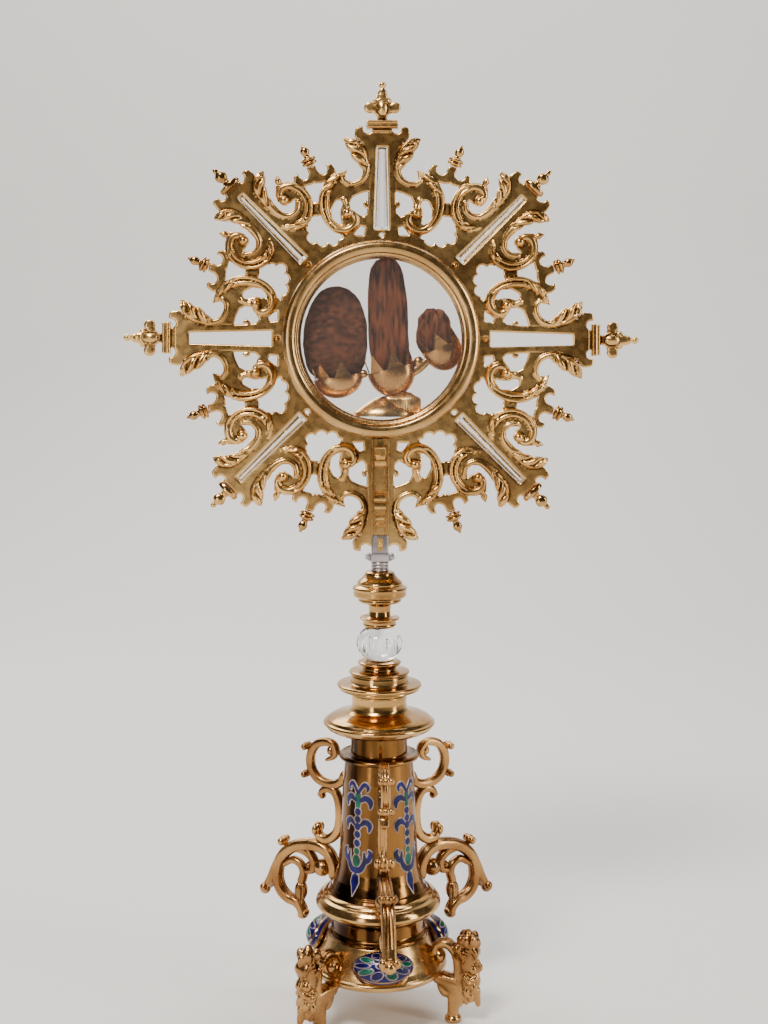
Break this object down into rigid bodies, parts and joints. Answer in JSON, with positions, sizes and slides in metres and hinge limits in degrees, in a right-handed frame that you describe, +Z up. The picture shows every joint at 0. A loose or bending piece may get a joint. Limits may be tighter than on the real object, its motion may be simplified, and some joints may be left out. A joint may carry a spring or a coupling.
{
  "type": "reliquary monstrance",
  "caption": "Reliquary monstrance: pierced sunburst with a round glazed case on a turned stem with scroll brackets and mask feet.",
  "frame": {"origin": "middle of the box round the object, on the ground under the feet", "axes": "+Z up the stem, +X to the right of the sunburst seen from the front, front face of the case towards -Y"},
  "size_m": [0.2776, 0.1318, 0.5009],
  "materials": {
    "gilt_bronze": "satin gilt",
    "grey_steel": "worn",
    "rock_crystal": "polished",
    "enamel": "glossy enamel",
    "relic": "dry dark red-brown, fibrous and cracked"
  },
  "bodies": {
    "root": {"sunburst_plate": "gilt_bronze", "case_drum": "gilt_bronze", "front_ring": "gilt_bronze", "back_ring": "gilt_bronze", "finial_top": "gilt_bronze", "finial_left": "gilt_bronze", "finial_right": "gilt_bronze", "acorn_finial_1": "gilt_bronze", "acorn_finial_2": "gilt_bronze", "acorn_finial_3": "gilt_bronze", "acorn_finial_4": "gilt_bronze", "small_finial_1": "gilt_bronze", "small_finial_2": "gilt_bronze", "small_finial_3": "gilt_bronze", "small_finial_4": "gilt_bronze", "small_finial_5": "gilt_bronze", "small_finial_6": "gilt_bronze", "small_finial_7": "gilt_bronze", "small_finial_8": "gilt_bronze", "pilaster": "gilt_bronze", "ferrule_dome": "gilt_bronze", "upper_collar": "gilt_bronze", "lower_collar": "gilt_bronze", "stepped_discs": "gilt_bronze", "wide_knop": "gilt_bronze", "stem_drum": "gilt_bronze", "column": "gilt_bronze", "foot_flange": "gilt_bronze", "foot_drum": "gilt_bronze", "base_skirt": "gilt_bronze", "bracket_1": "gilt_bronze", "bracket_2": "gilt_bronze", "bracket_3": "gilt_bronze", "foot_1": "gilt_bronze", "foot_2": "gilt_bronze", "foot_3": "gilt_bronze", "steel_tang": "grey_steel", "tang_foot": "grey_steel", "front_glass": "rock_crystal", "back_glass": "rock_crystal", "crystal_knop": "rock_crystal", "crystal_top": "rock_crystal", "crystal_1": "rock_crystal", "crystal_2": "rock_crystal", "crystal_3": "rock_crystal", "crystal_4": "rock_crystal", "enamel_boss_1": "enamel", "enamel_boss_2": "enamel", "enamel_boss_3": "enamel"}
  },
  "joints": []
}
